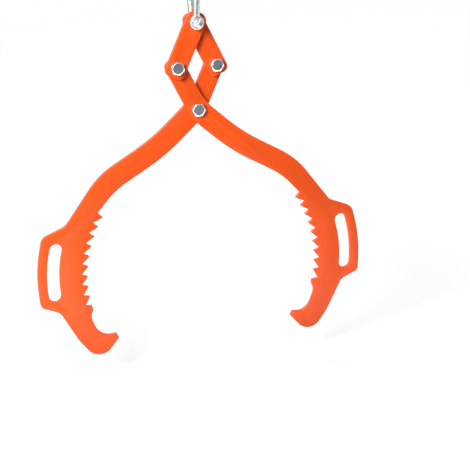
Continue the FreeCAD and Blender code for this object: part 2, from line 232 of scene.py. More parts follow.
def add(tree, kind, **settings):
    """Adds a node to a tree, with its properties set."""
    node = tree.nodes.new(kind)
    for key, value in settings.items():
        setattr(node, key, value)
    return node


def feed(tree, socket, value):
    """Links an input to another node's output, or sets it to a number or colour."""
    if hasattr(value, "links"):
        tree.links.new(value, socket)
    else:
        socket.default_value = value


def math_node(tree, operation, first, second):
    """A Math node: each operand is a socket or a number."""
    node = add(tree, "ShaderNodeMath", operation=operation)
    for socket, value in zip(node.inputs, (first, second)):
        feed(tree, socket, value)
    return node.outputs[0]


def noise(tree, vector, scale, detail=2.0, roughness=0.5):
    """A noise texture: its scale is a socket or a number."""
    node = add(tree, "ShaderNodeTexNoise")
    tree.links.new(vector, node.inputs["Vector"])
    node.inputs["Detail"].default_value = detail
    node.inputs["Roughness"].default_value = roughness
    feed(tree, node.inputs["Scale"], scale)
    return node


def stretched(tree, vector, shares):
    """Texture coordinates scaled along each axis, where less than 1 draws out the pattern."""
    node = add(tree, "ShaderNodeVectorMath", operation="MULTIPLY")
    node.inputs[1].default_value = shares
    tree.links.new(vector, node.inputs[0])
    return node.outputs[0]


def ramp(tree, value, low, high):
    """A smooth step of a value from 0 at low to 1 at high."""
    node = add(tree, "ShaderNodeMapRange", interpolation_type="SMOOTHSTEP")
    tree.links.new(value, node.inputs["Value"])
    node.inputs["From Min"].default_value = low
    node.inputs["From Max"].default_value = high
    return node.outputs["Result"]


def plate_edge_group():
    """Where a plate's surface lies between its face and its cut wall, and the wall itself."""
    group, _, sink = new_group("Plate edge", [], [("Bevel", FLOAT), ("Wall", FLOAT)])
    coords = add(group, "ShaderNodeTexCoord")
    split = add(group, "ShaderNodeSeparateXYZ")
    group.links.new(coords.outputs["Normal"], split.inputs[0])
    squared = math_node(group, "MULTIPLY", split.outputs["Y"], split.outputs["Y"])
    rest = math_node(group, "SUBTRACT", 1.0, squared)
    product = math_node(group, "MULTIPLY", squared, rest)
    to_full = 4.0           # the product is at most a quarter, halfway round the edge
    group.links.new(math_node(group, "MULTIPLY", product, to_full), sink.inputs["Bevel"])
    group.links.new(ramp(group, rest, low=0.75, high=0.98), sink.inputs["Wall"])
    return group


def peel_group():
    """The height of a powder coat's orange peel, and slow patches of its colour."""
    group, source, sink = new_group(
        "Orange peel",
        [("Size", FLOAT, 0.0016), ("Patch size", FLOAT, 0.12)],
        [("Height", FLOAT), ("Patches", FLOAT)])
    coords = add(group, "ShaderNodeTexCoord")
    scale = math_node(group, "DIVIDE", 1.0, source.outputs["Size"])
    finer, fine_share = 3.7, 0.3
    coarse = noise(group, coords.outputs["Object"], scale, detail=1.5, roughness=0.45)
    fine_scale = math_node(group, "MULTIPLY", scale, finer)
    fine = noise(group, coords.outputs["Object"], fine_scale, detail=1.0)
    fine_part = math_node(group, "MULTIPLY", fine.outputs["Fac"], fine_share)
    total = math_node(group, "ADD", coarse.outputs["Fac"], fine_part)
    group.links.new(total, sink.inputs["Height"])
    patch_scale = math_node(group, "DIVIDE", 1.0, source.outputs["Patch size"])
    patches = noise(group, coords.outputs["Object"], patch_scale, detail=3.0)
    group.links.new(patches.outputs["Fac"], sink.inputs["Patches"])
    return group


def drag_line_group():
    """Fine lines that run through a plate's thickness, left where it was cut."""
    group, source, sink = new_group(
        "Drag lines", [("Pitch", FLOAT, 0.0011)], [("Height", FLOAT)])
    coords = add(group, "ShaderNodeTexCoord")
    drawn_out = stretched(group, coords.outputs["Object"], (1.0, 0.06, 1.0))
    scale = math_node(group, "DIVIDE", 1.0, source.outputs["Pitch"])
    lines = noise(group, drawn_out, scale, roughness=0.6)
    group.links.new(lines.outputs["Fac"], sink.inputs["Height"])
    return group


def metal_grain_group():
    """Grain, blotches and fine scratches of a plated or galvanised metal."""
    group, source, sink = new_group(
        "Metal grain",
        [("Grain size", FLOAT, 0.0007), ("Blotch size", FLOAT, 0.006)],
        [("Grain", FLOAT), ("Blotches", FLOAT), ("Scratches", FLOAT)])
    coords = add(group, "ShaderNodeTexCoord")
    grain_scale = math_node(group, "DIVIDE", 1.0, source.outputs["Grain size"])
    grain = noise(group, coords.outputs["Object"], grain_scale, roughness=0.55)
    group.links.new(grain.outputs["Fac"], sink.inputs["Grain"])
    blotch_scale = math_node(group, "DIVIDE", 1.0, source.outputs["Blotch size"])
    blotches = noise(group, coords.outputs["Object"], blotch_scale, detail=4.0, roughness=0.6)
    group.links.new(blotches.outputs["Fac"], sink.inputs["Blotches"])
    drawn_out = stretched(group, coords.outputs["Object"], (1.0, 1.0, 0.05))
    scratches = noise(group, drawn_out, grain_scale, detail=1.0)
    sparse = ramp(group, scratches.outputs["Fac"], low=0.60, high=0.72)
    group.links.new(sparse, sink.inputs["Scratches"])
    return group


def shared(name, maker):
    """The shader group of that name, built the first time it is asked for."""
    return bpy.data.node_groups.get(name) or maker()


def place_group(tree, name, maker, **values):
    """Puts a shared group in a material: grain_size sets its input Grain size."""
    node = add(tree, "ShaderNodeGroup", node_tree=shared(name, maker))
    for key, value in values.items():
        node.inputs[key.replace("_", " ").capitalize()].default_value = value
    return node


def new_material(name):
    """A material, its tree and its shader."""
    material = bpy.data.materials.new(name)
    material.use_nodes = True
    return material, material.node_tree, material.node_tree.nodes["Principled BSDF"]


def opaque(colour):
    """A colour with an alpha of 1."""
    return (*colour, 1.0)


def darker(colour, share):
    """A colour with this share of its light."""
    return tuple(channel * share for channel in colour)


def mixed_colour(tree, factor, first, second, amount=1.0):
    """A colour from first to second: a factor socket, scaled by an amount."""
    node = add(tree, "ShaderNodeMix", data_type="RGBA")
    tree.links.new(math_node(tree, "MULTIPLY", factor, amount), node.inputs["Factor"])
    feed(tree, node.inputs["A"], first)
    feed(tree, node.inputs["B"], second)
    return node.outputs["Result"]


def bump(tree, shader, height, strength, distance, under=None):
    """Gives a shader the relief of a height, on top of another relief if there is one."""
    node = add(tree, "ShaderNodeBump")
    node.inputs["Strength"].default_value = strength
    node.inputs["Distance"].default_value = distance
    tree.links.new(height, node.inputs["Height"])
    if under:
        tree.links.new(under, node.inputs["Normal"])
    tree.links.new(node.outputs["Normal"], shader.inputs["Normal"])
    return node.outputs["Normal"]


def spread(tree, value, low, high):
    """Carries a 0 to 1 value into a range."""
    node = add(tree, "ShaderNodeMapRange")
    tree.links.new(value, node.inputs["Value"])
    node.inputs["To Min"].default_value = low
    node.inputs["To Max"].default_value = high
    return node.outputs["Result"]


# Finishes

def orange_powder_coat():
    """Semi-gloss coat with orange peel, thinner and lighter with a painted highlight on the eased
    edges, over laser cut walls.
    """
    name = "Orange powder coat"
    if name in bpy.data.materials:
        return bpy.data.materials[name]
    paint = bpy.context.scene.tongs_paint
    material, tree, shader = new_material(name)
    edge = place_group(tree, "Plate edge", plate_edge_group)
    peel = place_group(tree, "Orange peel", peel_group, size=paint.peel_size)
    lines = place_group(tree, "Drag lines", drag_line_group)
    grain = place_group(tree, "Metal grain", metal_grain_group)
    deep_share, thin_coat_and_highlight_share, uneven, scuff = 0.93, 0.55, 0.05, 0.08
    deep = opaque(darker(paint.colour, deep_share))
    patches = ramp(tree, peel.outputs["Patches"], low=0.35, high=0.68)
    colour = mixed_colour(tree, patches, opaque(paint.colour), deep)
    # The eased edges take a lighter colour: partly a thinner coat, partly a painted highlight
    # where the bevels catch the light
    colour = mixed_colour(
        tree, edge.outputs["Bevel"], colour, opaque(paint.thin_coat_and_highlight_colour), thin_coat_and_highlight_share)
    tree.links.new(colour, shader.inputs["Base Color"])
    rough = spread(
        tree, peel.outputs["Patches"], paint.roughness - uneven, paint.roughness + uneven)
    scuffed = math_node(tree, "MULTIPLY", grain.outputs["Scratches"], scuff)
    tree.links.new(math_node(tree, "ADD", rough, scuffed), shader.inputs["Roughness"])
    shader.inputs["IOR"].default_value = 1.5
    shader.inputs["Specular IOR Level"].default_value = 0.45
    wall_lines = math_node(tree, "MULTIPLY", lines.outputs["Height"], edge.outputs["Wall"])
    cut = bump(tree, shader, wall_lines, strength=0.35, distance=0.0004)
    bump(tree, shader, peel.outputs["Height"], strength=0.10, distance=0.0003, under=cut)
    return material


def metal(name, colour, dark_share, roughness, grain_size, blotch_size, bump_strength):
    """A plated metal: blotches of a darker tone, grain in its gloss and its surface."""
    if name in bpy.data.materials:
        return bpy.data.materials[name]
    material, tree, shader = new_material(name)
    grain = place_group(
        tree, "Metal grain", metal_grain_group, grain_size=grain_size, blotch_size=blotch_size)
    smoother, rougher, scuff = 0.08, 0.10, 0.10
    patches = ramp(tree, grain.outputs["Blotches"], low=0.38, high=0.66)
    dark = opaque(darker(colour, dark_share))
    mixed = mixed_colour(tree, patches, opaque(colour), dark)
    tree.links.new(mixed, shader.inputs["Base Color"])
    shader.inputs["Metallic"].default_value = 1.0
    rough = spread(tree, grain.outputs["Blotches"], roughness - smoother, roughness + rougher)
    scuffed = math_node(tree, "MULTIPLY", grain.outputs["Scratches"], scuff)
    tree.links.new(math_node(tree, "ADD", rough, scuffed), shader.inputs["Roughness"])
    bump(tree, shader, grain.outputs["Grain"], strength=bump_strength, distance=0.0002)
    return material


def zinc_plate():
    """Bolts, nuts and the washers behind the plates."""
    return metal(
        "Zinc plate", bpy.context.scene.tongs_fasteners.zinc_colour, dark_share=0.64,
        roughness=0.32, grain_size=0.0007, blotch_size=0.004, bump_strength=0.25)


def rolled_steel():
    """The wear washers."""
    return metal(
        "Rolled steel", bpy.context.scene.tongs_fasteners.steel_colour, dark_share=0.7,
        roughness=0.42, grain_size=0.0005, blotch_size=0.004, bump_strength=0.20)


def galvanised_forging():
    """The shackle and its pin."""
    return metal(
        "Galvanised forging", bpy.context.scene.tongs_shackle.zinc_colour, dark_share=0.82,
        roughness=0.38, grain_size=0.0014, blotch_size=0.006, bump_strength=0.14)


def nylon():
    """The lock nuts' inserts."""
    name = "Nylon"
    if name in bpy.data.materials:
        return bpy.data.materials[name]
    colour = bpy.context.scene.tongs_fasteners.nylon_colour
    material, tree, shader = new_material(name)
    grain = place_group(tree, "Metal grain", metal_grain_group, grain_size=0.0004)
    dark = opaque(darker(colour, share=0.85))
    mixed = mixed_colour(tree, grain.outputs["Blotches"], opaque(colour), dark, amount=0.6)
    tree.links.new(mixed, shader.inputs["Base Color"])
    rough = spread(tree, grain.outputs["Blotches"], low=0.38, high=0.52)
    tree.links.new(rough, shader.inputs["Roughness"])
    shader.inputs["Subsurface Weight"].default_value = 0.15
    shader.inputs["Subsurface Radius"].default_value = (0.001, 0.001, 0.001)
    bump(tree, shader, grain.outputs["Grain"], strength=0.15, distance=0.0001)
    return material


# Meshes

WELD_DISTANCE = 1e-6                    # within which corners are one
FLAT_ANGLE = math.radians(0.2)          # within which facets are one flat face
PLATE_EDGE_ANGLE = math.radians(32)     # above which a plate's edge is eased
TURNED_EDGE_ANGLE = math.radians(22)    # above which a fastener's edge is eased
CREASE_ANGLE = math.radians(35)         # above which a thread's edge is drawn sharp
EASED_SEGMENTS = 3
HEX_SIDE = math.pi / 3                  # the turn that a hexagon's side takes
HEX_COLUMNS = 72
TURNED_COLUMNS = 64
RING_STEPS = 96


def new_piece(name, mesh, material, body, node):
    """Puts a mesh in the scene, on a body and in a slot, for a node or (None) beside one."""
    mesh.materials.clear()
    mesh.materials.append(material)
    piece = bpy.data.objects.new(name, mesh)
    bpy.context.scene.collection.objects.link(piece)
    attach(piece, body)
    if node:
        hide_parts(node)


def baked(scratch):
    """The evaluated mesh of a scratch object, which goes."""
    bpy.context.view_layer.update()
    graph = bpy.context.evaluated_depsgraph_get()
    mesh = bpy.data.meshes.new_from_object(scratch.evaluated_get(graph), depsgraph=graph)
    bpy.data.objects.remove(scratch)
    return mesh


def scratch_object(mesh):
    """An object for its modifiers' sake, until it is baked."""
    scratch = bpy.data.objects.new("scratch", mesh)
    bpy.context.scene.collection.objects.link(scratch)
    return scratch


def add_bevel(scratch, width, angle):
    """Eases the edges that turn by more than an angle."""
    bevel = scratch.modifiers.new("Eased edges", "BEVEL")
    bevel.width = width
    bevel.segments = EASED_SEGMENTS
    bevel.limit_method = "ANGLE"
    bevel.angle_limit = angle
    bevel.use_clamp_overlap = False
    bevel.harden_normals = True


def merged_copy(node):
    """A copy of a node's mesh with its loose triangles joined and its flat faces made whole."""
    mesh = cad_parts[node].data.copy()
    work = bmesh.new()
    work.from_mesh(mesh)
    bmesh.ops.remove_doubles(work, verts=work.verts, dist=WELD_DISTANCE)
    bmesh.ops.dissolve_limit(
        work, angle_limit=FLAT_ANGLE, verts=work.verts, edges=work.edges, delimit=set())
    for face in work.faces:
        face.smooth = True
    work.to_mesh(mesh)
    work.free()
    return mesh


def eased_plate(node):
    """A plate with its cut edges eased on both faces."""
    paint = bpy.context.scene.tongs_paint
    scratch = scratch_object(merged_copy(node))
    add_bevel(scratch, paint.edge_radius, PLATE_EDGE_ANGLE)
    return baked(scratch)


def forged_copy(node, voxel, passes):
    """A node's shape with its corners blended as a forging's are."""
    scratch = scratch_object(merged_copy(node))
    remesh = scratch.modifiers.new("Blend", "REMESH")
    remesh.mode = "VOXEL"
    remesh.voxel_size = voxel
    remesh.use_smooth_shade = True
    soften = scratch.modifiers.new("Soften", "SMOOTH")
    soften.factor = 0.5
    soften.iterations = passes
    return baked(scratch)


def head_turn(side):
    """How far a pivot's head and nut are turned, in radians."""
    return math.radians(HEAD_TURNS[side]) + HEX_SIDE / 2


def hex_rings(work, centre, turn, profile_at):
    """Rings of corners round a hexagon.

    In each column profile_at gives every ring's (radius, y) from the radius of the turned face,
    that of the hexagon there, and how far its corner is turned off.
    """
    sizes = bpy.context.scene.tongs_fasteners
    apothem = sizes.flats / 2
    face_radius = apothem - sizes.face_inset
    columns = []
    for i in range(HEX_COLUMNS):
        angle = 2 * math.pi * i / HEX_COLUMNS
        off_flat = (angle % HEX_SIDE) - HEX_SIDE / 2
        edge_radius = apothem / math.cos(off_flat)
        rise = (edge_radius - face_radius) * math.tan(sizes.chamfer)
        direction = Vector((math.cos(angle + turn), 0, math.sin(angle + turn)))
        column = []
        for radius, depth in profile_at(face_radius, edge_radius, rise):
            point = centre + direction * radius
            column.append(work.verts.new((point.x, depth, point.z)))
        columns.append(column)
    return [list(ring) for ring in zip(*columns)]


def hex_head(work, centre, y, height, turn):
    """A bolt's head from y back to y + height, its corners turned off in front."""
    seat_share = 0.999      # of the hexagon's radius, where it bears on the plate

    def profile(face_radius, edge_radius, rise):
        return (
            (face_radius, y),
            (edge_radius, y + rise),
            (edge_radius, y + height),
            (edge_radius * seat_share, y + height),
        )

    close_solid(work, hex_rings(work, centre, turn, profile))


def close_solid(work, rings):
    """Walls between the rings, and a face over the first and the last."""
    join_rings(work, rings)
    work.faces.new(rings[0])
    work.faces.new(list(reversed(rings[-1])))


def join_rings(work, rings):
    """Walls from each ring of corners to the next."""
    count = len(rings[0])
    for first, second in zip(rings, rings[1:]):
        for i in range(count):
            j = (i + 1) % count
            work.faces.new((first[j], first[i], second[i], second[j]))


def turned(work, centre, profile):
    """A closed solid turned about a pivot's axis, from the (radius, y) of its corners."""
    rings = []
    for radius, depth in profile:
        ring = []
        for i in range(TURNED_COLUMNS):
            angle = 2 * math.pi * i / TURNED_COLUMNS
            x = centre.x + radius * math.cos(angle)
            z = centre.z + radius * math.sin(angle)
            ring.append(work.verts.new((x, depth, z)))
        rings.append(ring)
    close_solid(work, rings)


def finished(work, edge_radius):
    """A mesh from the bmesh, smooth, with outward normals and its edges eased."""
    bmesh.ops.recalc_face_normals(work, faces=work.faces)
    for face in work.faces:
        face.smooth = True
    mesh = bpy.data.meshes.new("piece")
    work.to_mesh(mesh)
    work.free()
    scratch = scratch_object(mesh)
    add_bevel(scratch, edge_radius, TURNED_EDGE_ANGLE)
    return baked(scratch)


# Geometry Nodes: what repeats

def new_tree(name, inputs):
    """An empty tree that makes geometry from its inputs and a material."""
    return new_group(name, inputs + [("Material", "NodeSocketMaterial", None)],
                     [("Geometry", "NodeSocketGeometry")], "GeometryNodeTree")


def thread_tree():
    """A ridge wound round the Z axis: a spiral with a pointed profile swept along it."""
    tree, source, sink = new_tree("Wound thread", [
        ("Root radius", FLOAT, 0.0068), ("Pitch", FLOAT, 0.002), ("Depth", FLOAT, 0.0012),
        ("Length", FLOAT, 0.01), ("Steps", "NodeSocketInt", 40)])
    spiral = add(tree, "GeometryNodeCurveSpiral")
    link = tree.links.new
    link(source.outputs["Steps"], spiral.inputs["Resolution"])
    turns = math_node(tree, "DIVIDE", source.outputs["Length"], source.outputs["Pitch"])
    link(turns, spiral.inputs["Rotations"])
    link(source.outputs["Root radius"], spiral.inputs["Start Radius"])
    link(source.outputs["Root radius"], spiral.inputs["End Radius"])
    link(source.outputs["Length"], spiral.inputs["Height"])
    upright = add(tree, "GeometryNodeSetCurveNormal", mode="Z_UP")
    link(spiral.outputs["Curve"], upright.inputs["Curve"])
    profile = add(tree, "GeometryNodeCurvePrimitiveQuadrilateral", mode="POINTS")
    foot_share, crest_share, sunk_share = 0.46, 0.08, -0.15
    half_foot = math_node(tree, "MULTIPLY", source.outputs["Pitch"], foot_share)
    half_crest = math_node(tree, "MULTIPLY", source.outputs["Pitch"], crest_share)
    sunk = math_node(tree, "MULTIPLY", source.outputs["Depth"], sunk_share)
    for socket, out, side in (
        ("Point 1", sunk, math_node(tree, "MULTIPLY", half_foot, -1.0)),
        ("Point 2", source.outputs["Depth"], math_node(tree, "MULTIPLY", half_crest, -1.0)),
        ("Point 3", source.outputs["Depth"], half_crest),
        ("Point 4", sunk, half_foot),
    ):
        corner = add(tree, "ShaderNodeCombineXYZ")
        link(out, corner.inputs["X"])
        link(side, corner.inputs["Y"])
        link(corner.outputs[0], profile.inputs[socket])
    sweep = add(tree, "GeometryNodeCurveToMesh")
    sweep.inputs["Fill Caps"].default_value = True
    link(upright.outputs["Curve"], sweep.inputs["Curve"])
    link(profile.outputs["Curve"], sweep.inputs["Profile Curve"])
    end_tree(tree, sweep.outputs["Mesh"], source, sink)
    return tree


def ring_tree():
    """A flat ring with rounded edges: a circle with a rounded oblong swept along it."""
    tree, source, sink = new_tree("Flat ring", [
        ("Outer radius", FLOAT, 0.015), ("Inner radius", FLOAT, 0.0085),
        ("Thickness", FLOAT, 0.003), ("Edge radius", FLOAT, 0.0004)])
    link = tree.links.new
    both = math_node(tree, "ADD", source.outputs["Outer radius"], source.outputs["Inner radius"])
    circle = add(tree, "GeometryNodeCurvePrimitiveCircle", mode="RADIUS")
    circle.inputs["Resolution"].default_value = RING_STEPS
    link(math_node(tree, "MULTIPLY", both, 0.5), circle.inputs["Radius"])
    width = math_node(
        tree, "SUBTRACT", source.outputs["Outer radius"], source.outputs["Inner radius"])
    oblong = add(tree, "GeometryNodeCurvePrimitiveQuadrilateral", mode="RECTANGLE")
    link(width, oblong.inputs["Width"])
    link(source.outputs["Thickness"], oblong.inputs["Height"])
    rounded = add(tree, "GeometryNodeFilletCurve", mode="POLY")
    rounded.inputs["Count"].default_value = 4
    link(oblong.outputs["Curve"], rounded.inputs["Curve"])
    link(source.outputs["Edge radius"], rounded.inputs["Radius"])
    sweep = add(tree, "GeometryNodeCurveToMesh")
    link(circle.outputs["Curve"], sweep.inputs["Curve"])
    link(rounded.outputs["Curve"], sweep.inputs["Profile Curve"])
    end_tree(tree, sweep.outputs["Mesh"], source, sink)
    return tree


def end_tree(tree, geometry, source, sink):
    """Realizes the instances and sets the material, as each tree ends."""
    realize = add(tree, "GeometryNodeRealizeInstances")
    paint = add(tree, "GeometryNodeSetMaterial")
    tree.links.new(geometry, realize.inputs["Geometry"])
    tree.links.new(realize.outputs["Geometry"], paint.inputs["Geometry"])
    tree.links.new(source.outputs["Material"], paint.inputs["Material"])
    tree.links.new(paint.outputs["Geometry"], sink.inputs["Geometry"])


def grown(name, maker, values):
    """The mesh that a Geometry Nodes tree makes from named values, along Z at the origin."""
    tree = bpy.data.node_groups.get(name) or maker()
    scratch = scratch_object(bpy.data.meshes.new("seed"))
    modifier = scratch.modifiers.new(name, "NODES")
    modifier.node_group = tree
    for item in tree.interface.items_tree:
        if item.in_out == "INPUT" and item.name in values:
            modifier[item.identifier] = values[item.name]
    return baked(scratch)


def set_on_axis(mesh, centre, start):
    """Turns a mesh made along Z to run back along Y from start, round a pivot."""
    turn = Matrix.Rotation(math.radians(-90), 4, "X")
    mesh.transform(Matrix.Translation((centre.x, start, centre.z)) @ turn)
    work = bmesh.new()
    work.from_mesh(mesh)
    bmesh.ops.remove_doubles(work, verts=work.verts, dist=WELD_DISTANCE)
    bmesh.ops.recalc_face_normals(work, faces=work.faces)
    for face in work.faces:
        face.smooth = True
    work.to_mesh(mesh)
    work.free()
    return mesh


def sharp_by_angle(mesh, angle):
    """Marks the edges that turn by more than an angle, so that the rest shade smooth."""
    work = bmesh.new()
    work.from_mesh(mesh)
    for edge in work.edges:
        edge.smooth = edge.is_manifold and edge.calc_face_angle(0.0) < angle
    work.to_mesh(mesh)
    work.free()
    return mesh


def thread_mesh(centre, start, length, root_radius, material):
    """A thread wound round a pivot's axis, from start back over a length."""
    sizes = bpy.context.scene.tongs_fasteners
    mesh = grown("Wound thread", thread_tree, {
        "Root radius": root_radius,
        "Pitch": sizes.pitch,
        "Depth": sizes.thread_depth,
        "Length": length,
        "Steps": sizes.thread_steps,
        "Material": material,
    })
    return sharp_by_angle(set_on_axis(mesh, centre, start), CREASE_ANGLE)


def ring_mesh(node, bore, edge_radius, material):
    """A flat ring where a node is, with a bore."""
    low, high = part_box(node)
    mesh = grown("Flat ring", ring_tree, {
        "Outer radius": node_radius(node),
        "Inner radius": bore,
        "Thickness": high.y - low.y,
        "Edge radius": edge_radius,
        "Material": material,
    })
    return set_on_axis(mesh, node_centre(node), (low.y + high.y) / 2)


# Operators: one for each group of pieces

def dress_plate(node):
    """Builds one painted plate."""
    new_piece(node + "_plate", eased_plate(node), orange_powder_coat(), PLATES[node], node)


class TONGS_OT_jaws(bpy.types.Operator):
    """Dress both jaw plates with eased edges and powder coat"""
    bl_idname = "tongs.jaws"
    bl_label = "Jaws"

    def execute(self, context):
        for node in ("jaw_left", "jaw_right"):
            dress_plate(node)
        return {"FINISHED"}


class TONGS_OT_links(bpy.types.Operator):
    """Dress both links with eased edges and powder coat"""
    bl_idname = "tongs.links"
    bl_label = "Links"

    def execute(self, context):
        for node in ("link_left", "link_right"):
            dress_plate(node)
        return {"FINISHED"}


class TONGS_OT_bolts(bpy.types.Operator):
    """Build the hexagon head bolts with their rolled threads"""
    bl_idname = "tongs.bolts"
    bl_label = "Bolts"

    HEAD_HEIGHT = 0.010
    SHANK_RADIUS = 0.008
    SHANK_SUNK = 0.0015     # into the head
    PLAIN_LENGTH = 0.012
    END_CHAMFER = 0.0015

    def execute(self, context):
        sizes = context.scene.tongs_fasteners
        root = self.SHANK_RADIUS - sizes.thread_depth
        for side, body in PIVOT_BODIES.items():
            node = "bolt_" + side
            low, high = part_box(node)
            centre = node_centre(node)
            seat = low.y + self.HEAD_HEIGHT
            thread_start = seat + self.PLAIN_LENGTH
            work = bmesh.new()
            hex_head(work, centre, low.y, self.HEAD_HEIGHT, head_turn(side))
            turned(work, centre, [
                (self.SHANK_RADIUS, seat - self.SHANK_SUNK),
                (self.SHANK_RADIUS, thread_start),
                (root, thread_start + sizes.thread_depth),
                (root, high.y - self.END_CHAMFER / 2),
                (root - self.END_CHAMFER / 2, high.y),
            ])
            mesh = finished(work, sizes.edge_radius)
            length = high.y - self.END_CHAMFER - thread_start
            thread = thread_mesh(centre, thread_start, length, root, zinc_plate())
            new_piece(node + "_turned", mesh, zinc_plate(), body, node)
            new_piece(node + "_thread", thread, zinc_plate(), body, None)
        return {"FINISHED"}


class TONGS_OT_nuts(bpy.types.Operator):
    """Build the lock nuts, each with its nylon insert"""
    bl_idname = "tongs.nuts"
    bl_label = "Lock nuts"

    HEX_HEIGHT = 0.0115
    COLLAR_RADIUS = 0.01075
    WALL = 0.0012
    BORE = 0.00806
    BORE_CHAMFER = 0.0007
    INSERT_EDGE = 0.0003

    def execute(self, context):
        sizes = context.scene.tongs_fasteners
        for side, body in PIVOT_BODIES.items():
            node = "nut_" + side
            low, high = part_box(node)
            work = bmesh.new()
            self.shell(work, node_centre(node), low.y, high.y, head_turn(side))
            mesh = finished(work, sizes.edge_radius)
            new_piece(node + "_turned", mesh, zinc_plate(), body, node)
            insert = "nut_insert_" + side
            ring = ring_mesh(insert, self.BORE, self.INSERT_EDGE, nylon())
            new_piece(insert + "_ring", ring, nylon(), body, insert)
        return {"FINISHED"}

    def shell(self, work, centre, start, end, turn):
        """A bored hexagon with a thin collar turned in over the insert."""
        pocket = self.COLLAR_RADIUS - self.WALL
        shoulder = start + self.HEX_HEIGHT

        def profile(face_radius, edge_radius, rise):
            return (
                (self.BORE, start + self.BORE_CHAMFER),
                (self.BORE + self.BORE_CHAMFER, start),
                (face_radius, start),
                (edge_radius, start + rise),
                (edge_radius, shoulder - rise),
                (face_radius, shoulder),
                (self.COLLAR_RADIUS, shoulder),
                (self.COLLAR_RADIUS, end - self.WALL),
                (pocket, end),
                (pocket - self.WALL / 2, end),
                (pocket - self.WALL / 2, end - self.WALL),
                (pocket, end - self.WALL),
                (pocket, shoulder),
                (self.BORE, shoulder),
            )

        rings = hex_rings(work, centre, turn, profile)
        join_rings(work, rings + rings[:1])


class TONGS_OT_washers(bpy.types.Operator):
    """Build the flat washers behind the plates and the wear washers between them"""
    bl_idname = "tongs.washers"
    bl_label = "Washers"

    BORE = 0.0085
    EDGE = 0.0004
    WEAR_EDGE = 0.0002

    def execute(self, context):
        for side, body in PIVOT_BODIES.items():
            node = "washer_" + side
            ring = ring_mesh(node, self.BORE, self.EDGE, zinc_plate())
            new_piece(node + "_ring", ring, zinc_plate(), body, node)
        for side, body in WEAR_WASHERS.items():
            node = "wear_washer_" + side
            ring = ring_mesh(node, self.BORE, self.WEAR_EDGE, rolled_steel())
            new_piece(node + "_ring", ring, rolled_steel(), body, node)
        return {"FINISHED"}


class TONGS_OT_shackle_bow(bpy.types.Operator):
    """Build the forged bow of the shackle"""
    bl_idname = "tongs.shackle_bow"
    bl_label = "Shackle bow"

    def execute(self, context):
        settings = context.scene.tongs_shackle
        mesh = forged_copy("shackle_body", settings.voxel, settings.blend_passes)
        new_piece("shackle_bow", mesh, galvanised_forging(), "shackle", "shackle_body")
        return {"FINISHED"}


class TONGS_OT_screw_pin(bpy.types.Operator):
    """Build the shackle's screw pin with its ear, shoulder and thread"""
    bl_idname = "tongs.screw_pin"
    bl_label = "Screw pin"

    THREAD_START = 0.0125
    RADIUS = 0.008
    FINER = 0.7             # its grain against the bow's

    def execute(self, context):
        settings = context.scene.tongs_shackle
        sizes = context.scene.tongs_fasteners
        mesh = forged_copy("shackle_pin", settings.voxel * self.FINER, settings.pin_passes)
        centre = node_centre("shackle_pin")
        root = self.RADIUS - sizes.thread_depth
        # The pin's end is drawn in to the root that its thread is wound on
        for vertex in mesh.vertices:
            if vertex.co.y > self.THREAD_START:
                across = Vector((vertex.co.x - centre.x, 0, vertex.co.z - centre.z))
                if across.length > root:
                    across.length = root
                    vertex.co = (centre.x + across.x, vertex.co.y, centre.z + across.z)
        new_piece("screw_pin", mesh, galvanised_forging(), "shackle", "shackle_pin")
        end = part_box("shackle_pin")[1].y - sizes.thread_depth
        thread = thread_mesh(
            centre, self.THREAD_START, end - self.THREAD_START, root, galvanised_forging())
        new_piece("screw_pin_thread", thread, galvanised_forging(), "shackle", None)
        return {"FINISHED"}


# The stage

def facing(tree, coords, direction, full_angle, none_angle):
    """How far a ray's direction lies in a cone: 1 within full_angle, 0 past none_angle.

    Both angles are in degrees from the cone's middle.
    """
    node = add(tree, "ShaderNodeVectorMath", operation="DOT_PRODUCT")
    node.inputs[1].default_value = direction
    tree.links.new(coords.outputs["Generated"], node.inputs[0])
    return ramp(tree, node.outputs["Value"], math.cos(math.radians(none_angle)),
                math.cos(math.radians(full_angle)))


def seen_ray(tree, path):
    """1 for the rays that show the backdrop itself, straight or through glass."""
    return math_node(
        tree, "MAXIMUM", path.outputs["Is Camera Ray"], path.outputs["Is Transmission Ray"])


def area_lamp(name, place, target, width, height, energy):
    """A lamp that no camera sees, turned to face a target."""
    lamp = bpy.data.lights.new(name, "AREA")
    lamp.shape = "RECTANGLE"
    lamp.size = width
    lamp.size_y = height
    lamp.energy = energy
    obj = bpy.data.objects.new(name, lamp)
    bpy.context.scene.collection.objects.link(obj)
    obj.location = place
    obj.rotation_euler = (target - place).to_track_quat("-Z", "Y").to_euler()
    obj.visible_camera = False


